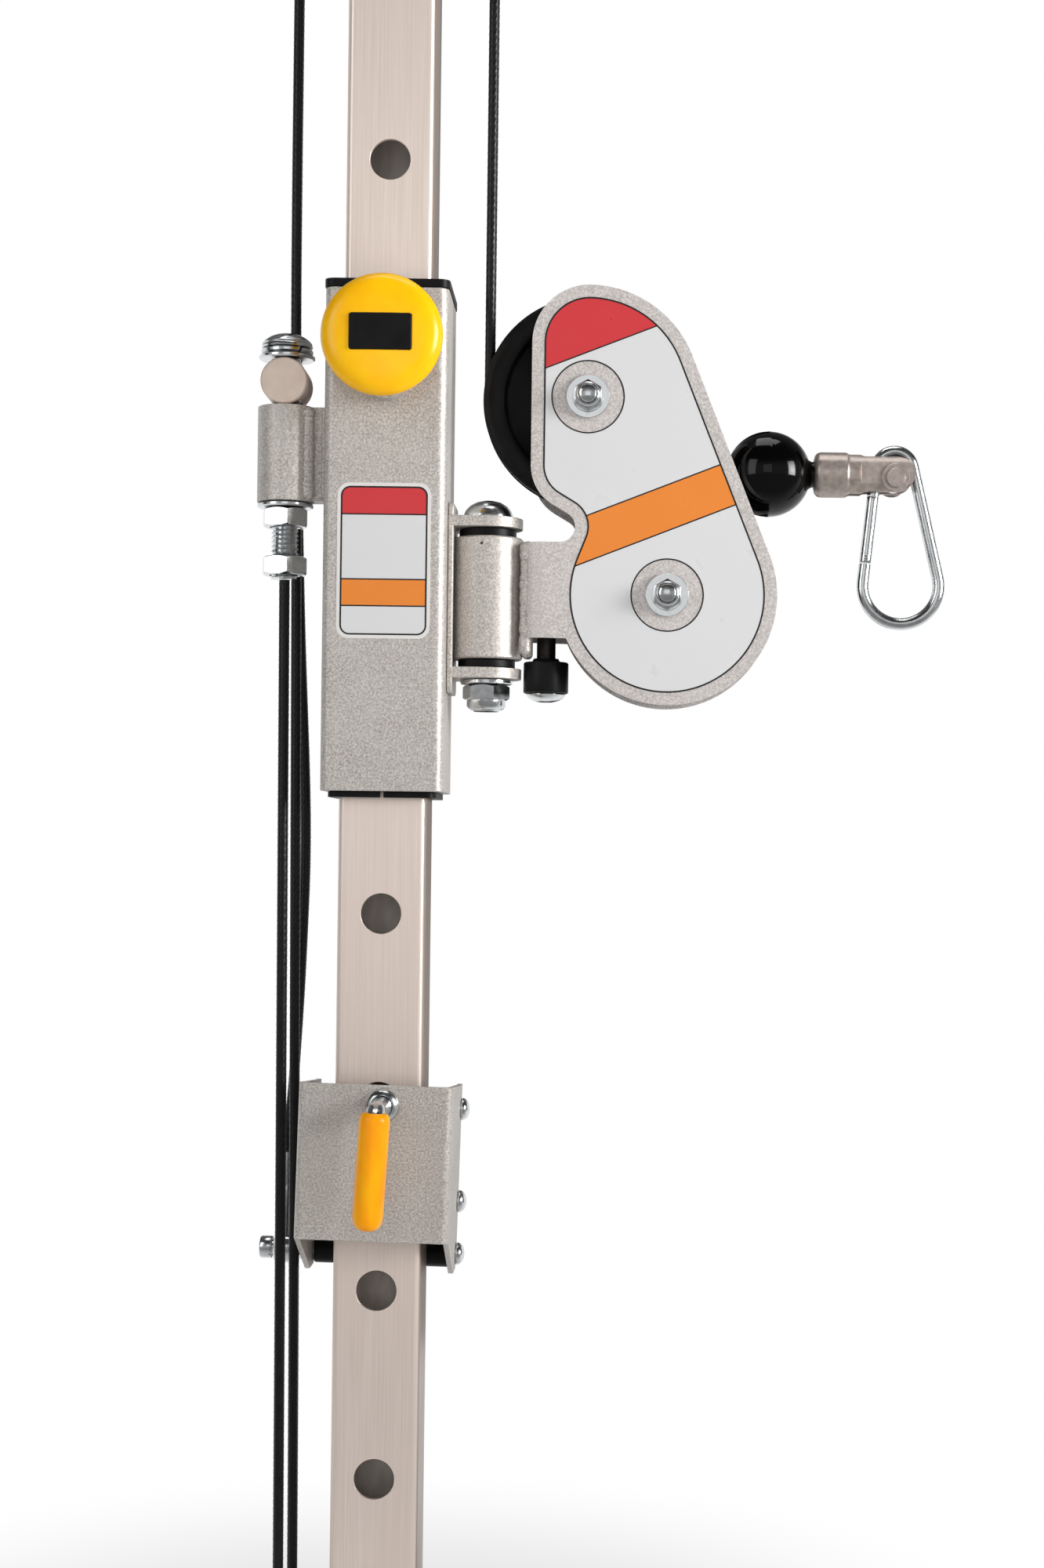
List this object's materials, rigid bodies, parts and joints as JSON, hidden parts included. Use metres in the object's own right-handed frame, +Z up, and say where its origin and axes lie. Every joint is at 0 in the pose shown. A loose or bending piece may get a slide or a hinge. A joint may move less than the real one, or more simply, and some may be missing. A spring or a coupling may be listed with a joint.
{
  "type": "multi gym pulley column",
  "caption": "Square guide column with a pinned swivel pulley carriage, a ball-stopped cable with a snap hook, and a latched lower carriage beside its cables.",
  "frame": {"origin": "on the column's axis at the underside of the foot plate", "axes": "+Z up along the column, +X to the side of the pulley housing, -Y the front with the pull knob"},
  "size_m": [0.3975, 0.1435, 1.1006],
  "materials": {
    "nickel_plate": "satin nickel plate",
    "silver_paint": "silver powder coat",
    "zinc_plate": "bright zinc plate",
    "black_plastic": "satin moulded",
    "gloss_black": "polished",
    "cable_jacket": "extruded jacket over wire rope",
    "yellow_plastic": "glossy moulded"
  },
  "bodies": {
    "column": {"guide_column": "nickel_plate", "foot_plate": "silver_paint", "top_plate": "silver_paint", "return_cable": "cable_jacket"},
    "upper_carriage": {"carriage_sleeve": "silver_paint", "upper_bushing": "black_plastic", "lower_bushing_left": "black_plastic", "lower_bushing_right": "black_plastic", "pin_barrel": "silver_paint", "anchor_barrel": "silver_paint", "trunnion": "nickel_plate", "adjuster_washer": "zinc_plate", "adjuster_stud": "zinc_plate", "adjuster_lower_washer": "zinc_plate", "adjuster_nut": "zinc_plate", "adjuster_locknut": "zinc_plate", "adjuster_cable": "cable_jacket", "pivot_bracket": "silver_paint", "pivot_bolt": "zinc_plate", "pivot_washer": "zinc_plate", "pivot_nut": "zinc_plate", "upper_pivot_bushing": "black_plastic", "lower_pivot_bushing": "black_plastic"},
    "pull_pin": {"pull_pin": "zinc_plate", "pull_knob": "yellow_plastic", "knob_inlay": "black_plastic"},
    "swivel": {"swivel_barrel": "silver_paint", "housing_front_plate": "silver_paint", "housing_back_plate": "silver_paint", "upper_axle_bolt": "zinc_plate", "upper_axle_washer": "zinc_plate", "upper_axle_nut": "zinc_plate", "upper_axle_sleeve": "zinc_plate", "lower_axle_bolt": "zinc_plate", "lower_axle_washer": "zinc_plate", "lower_axle_nut": "zinc_plate", "lower_axle_sleeve": "zinc_plate", "plunger_block": "zinc_plate", "pulley_cable": "cable_jacket"},
    "index_plunger": {"index_plunger": "zinc_plate", "index_plunger_knob": "black_plastic"},
    "upper_pulley": {"upper_pulley": "black_plastic"},
    "lower_pulley": {"lower_pulley": "black_plastic"},
    "cable_end": {"cable_tail": "cable_jacket", "ball_stop": "gloss_black", "clevis": "nickel_plate", "clevis_pin": "nickel_plate"},
    "carabiner": {"carabiner_body": "zinc_plate"},
    "gate": {"carabiner_gate": "zinc_plate"},
    "lower_carriage": {"lower_channel": "silver_paint", "upper_roller_bolt": "zinc_plate", "stay_bolt": "zinc_plate", "lower_roller_bolt": "zinc_plate", "front_pad": "black_plastic", "cable_eye": "zinc_plate", "carriage_cable": "cable_jacket"},
    "upper_roller": {"upper_roller": "black_plastic"},
    "lower_roller": {"lower_roller": "black_plastic"},
    "latch": {"latch_rod": "zinc_plate", "latch_grip": "yellow_plastic"}
  },
  "joints": [
    {"name": "upper_carriage_slide", "type": "slide", "parent": "column", "child": "upper_carriage", "axis": [0, 0, 1], "range_m": [-0.1073, 0]},
    {"name": "pull_pin_travel", "type": "slide", "parent": "upper_carriage", "child": "pull_pin", "axis": [0, 1, 0], "range_m": [0, 0.012], "stiffness_N_per_m": 400, "springref_m": 0.03},
    {"name": "housing_swivel", "type": "hinge", "parent": "upper_carriage", "child": "swivel", "pos_m": [0.057, 0, 0.6041], "axis": [0, 0, 1], "range_deg": [-75, 75]},
    {"name": "index_plunger_pull", "type": "slide", "parent": "swivel", "child": "index_plunger", "axis": [0, 0, -1], "range_m": [0, 0.006], "stiffness_N_per_m": 500, "springref_m": -0.004},
    {"name": "upper_pulley_spin", "type": "hinge", "parent": "swivel", "child": "upper_pulley", "pos_m": [0.1142, 0, 0.7185], "axis": [0, 1, 0], "continuous": true},
    {"name": "lower_pulley_spin", "type": "hinge", "parent": "swivel", "child": "lower_pulley", "pos_m": [0.1607, 0, 0.6059], "axis": [0, 1, 0], "continuous": true},
    {"name": "cable_pull", "type": "slide", "parent": "swivel", "child": "cable_end", "axis": [0.9851, 0, 0.1718], "range_m": [0, 0.04], "stiffness_N_per_m": 60, "springref_m": -0.15},
    {"name": "carabiner_swing", "type": "hinge", "parent": "cable_end", "child": "carabiner", "pos_m": [0.2913, 0, 0.676], "axis": [0, 1, 0], "range_deg": [-90, 30]},
    {"name": "carabiner_gate_hinge", "type": "hinge", "parent": "carabiner", "child": "gate", "pos_m": [0.27536, 0, 0.6279], "axis": [0, 1, 0], "range_deg": [0, 14], "stiffness_Nm_per_rad": 0.05, "springref_deg": -17.19},
    {"name": "lower_carriage_slide", "type": "slide", "parent": "column", "child": "lower_carriage", "axis": [0, 0, 1], "range_m": [-0.1073, 0]},
    {"name": "upper_roller_spin", "type": "hinge", "parent": "lower_carriage", "child": "upper_roller", "pos_m": [-0.0002, 0.0336, 0.3069], "axis": [0.9997, 0, -0.0244], "continuous": true},
    {"name": "lower_roller_spin", "type": "hinge", "parent": "lower_carriage", "child": "lower_roller", "pos_m": [-0.00229, 0.0336, 0.22133], "axis": [0.9997, 0, -0.0244], "continuous": true},
    {"name": "latch_travel", "type": "slide", "parent": "lower_carriage", "child": "latch", "axis": [0, 1, 0], "range_m": [0, 0.009], "stiffness_N_per_m": 300, "springref_m": 0.025}
  ]
}
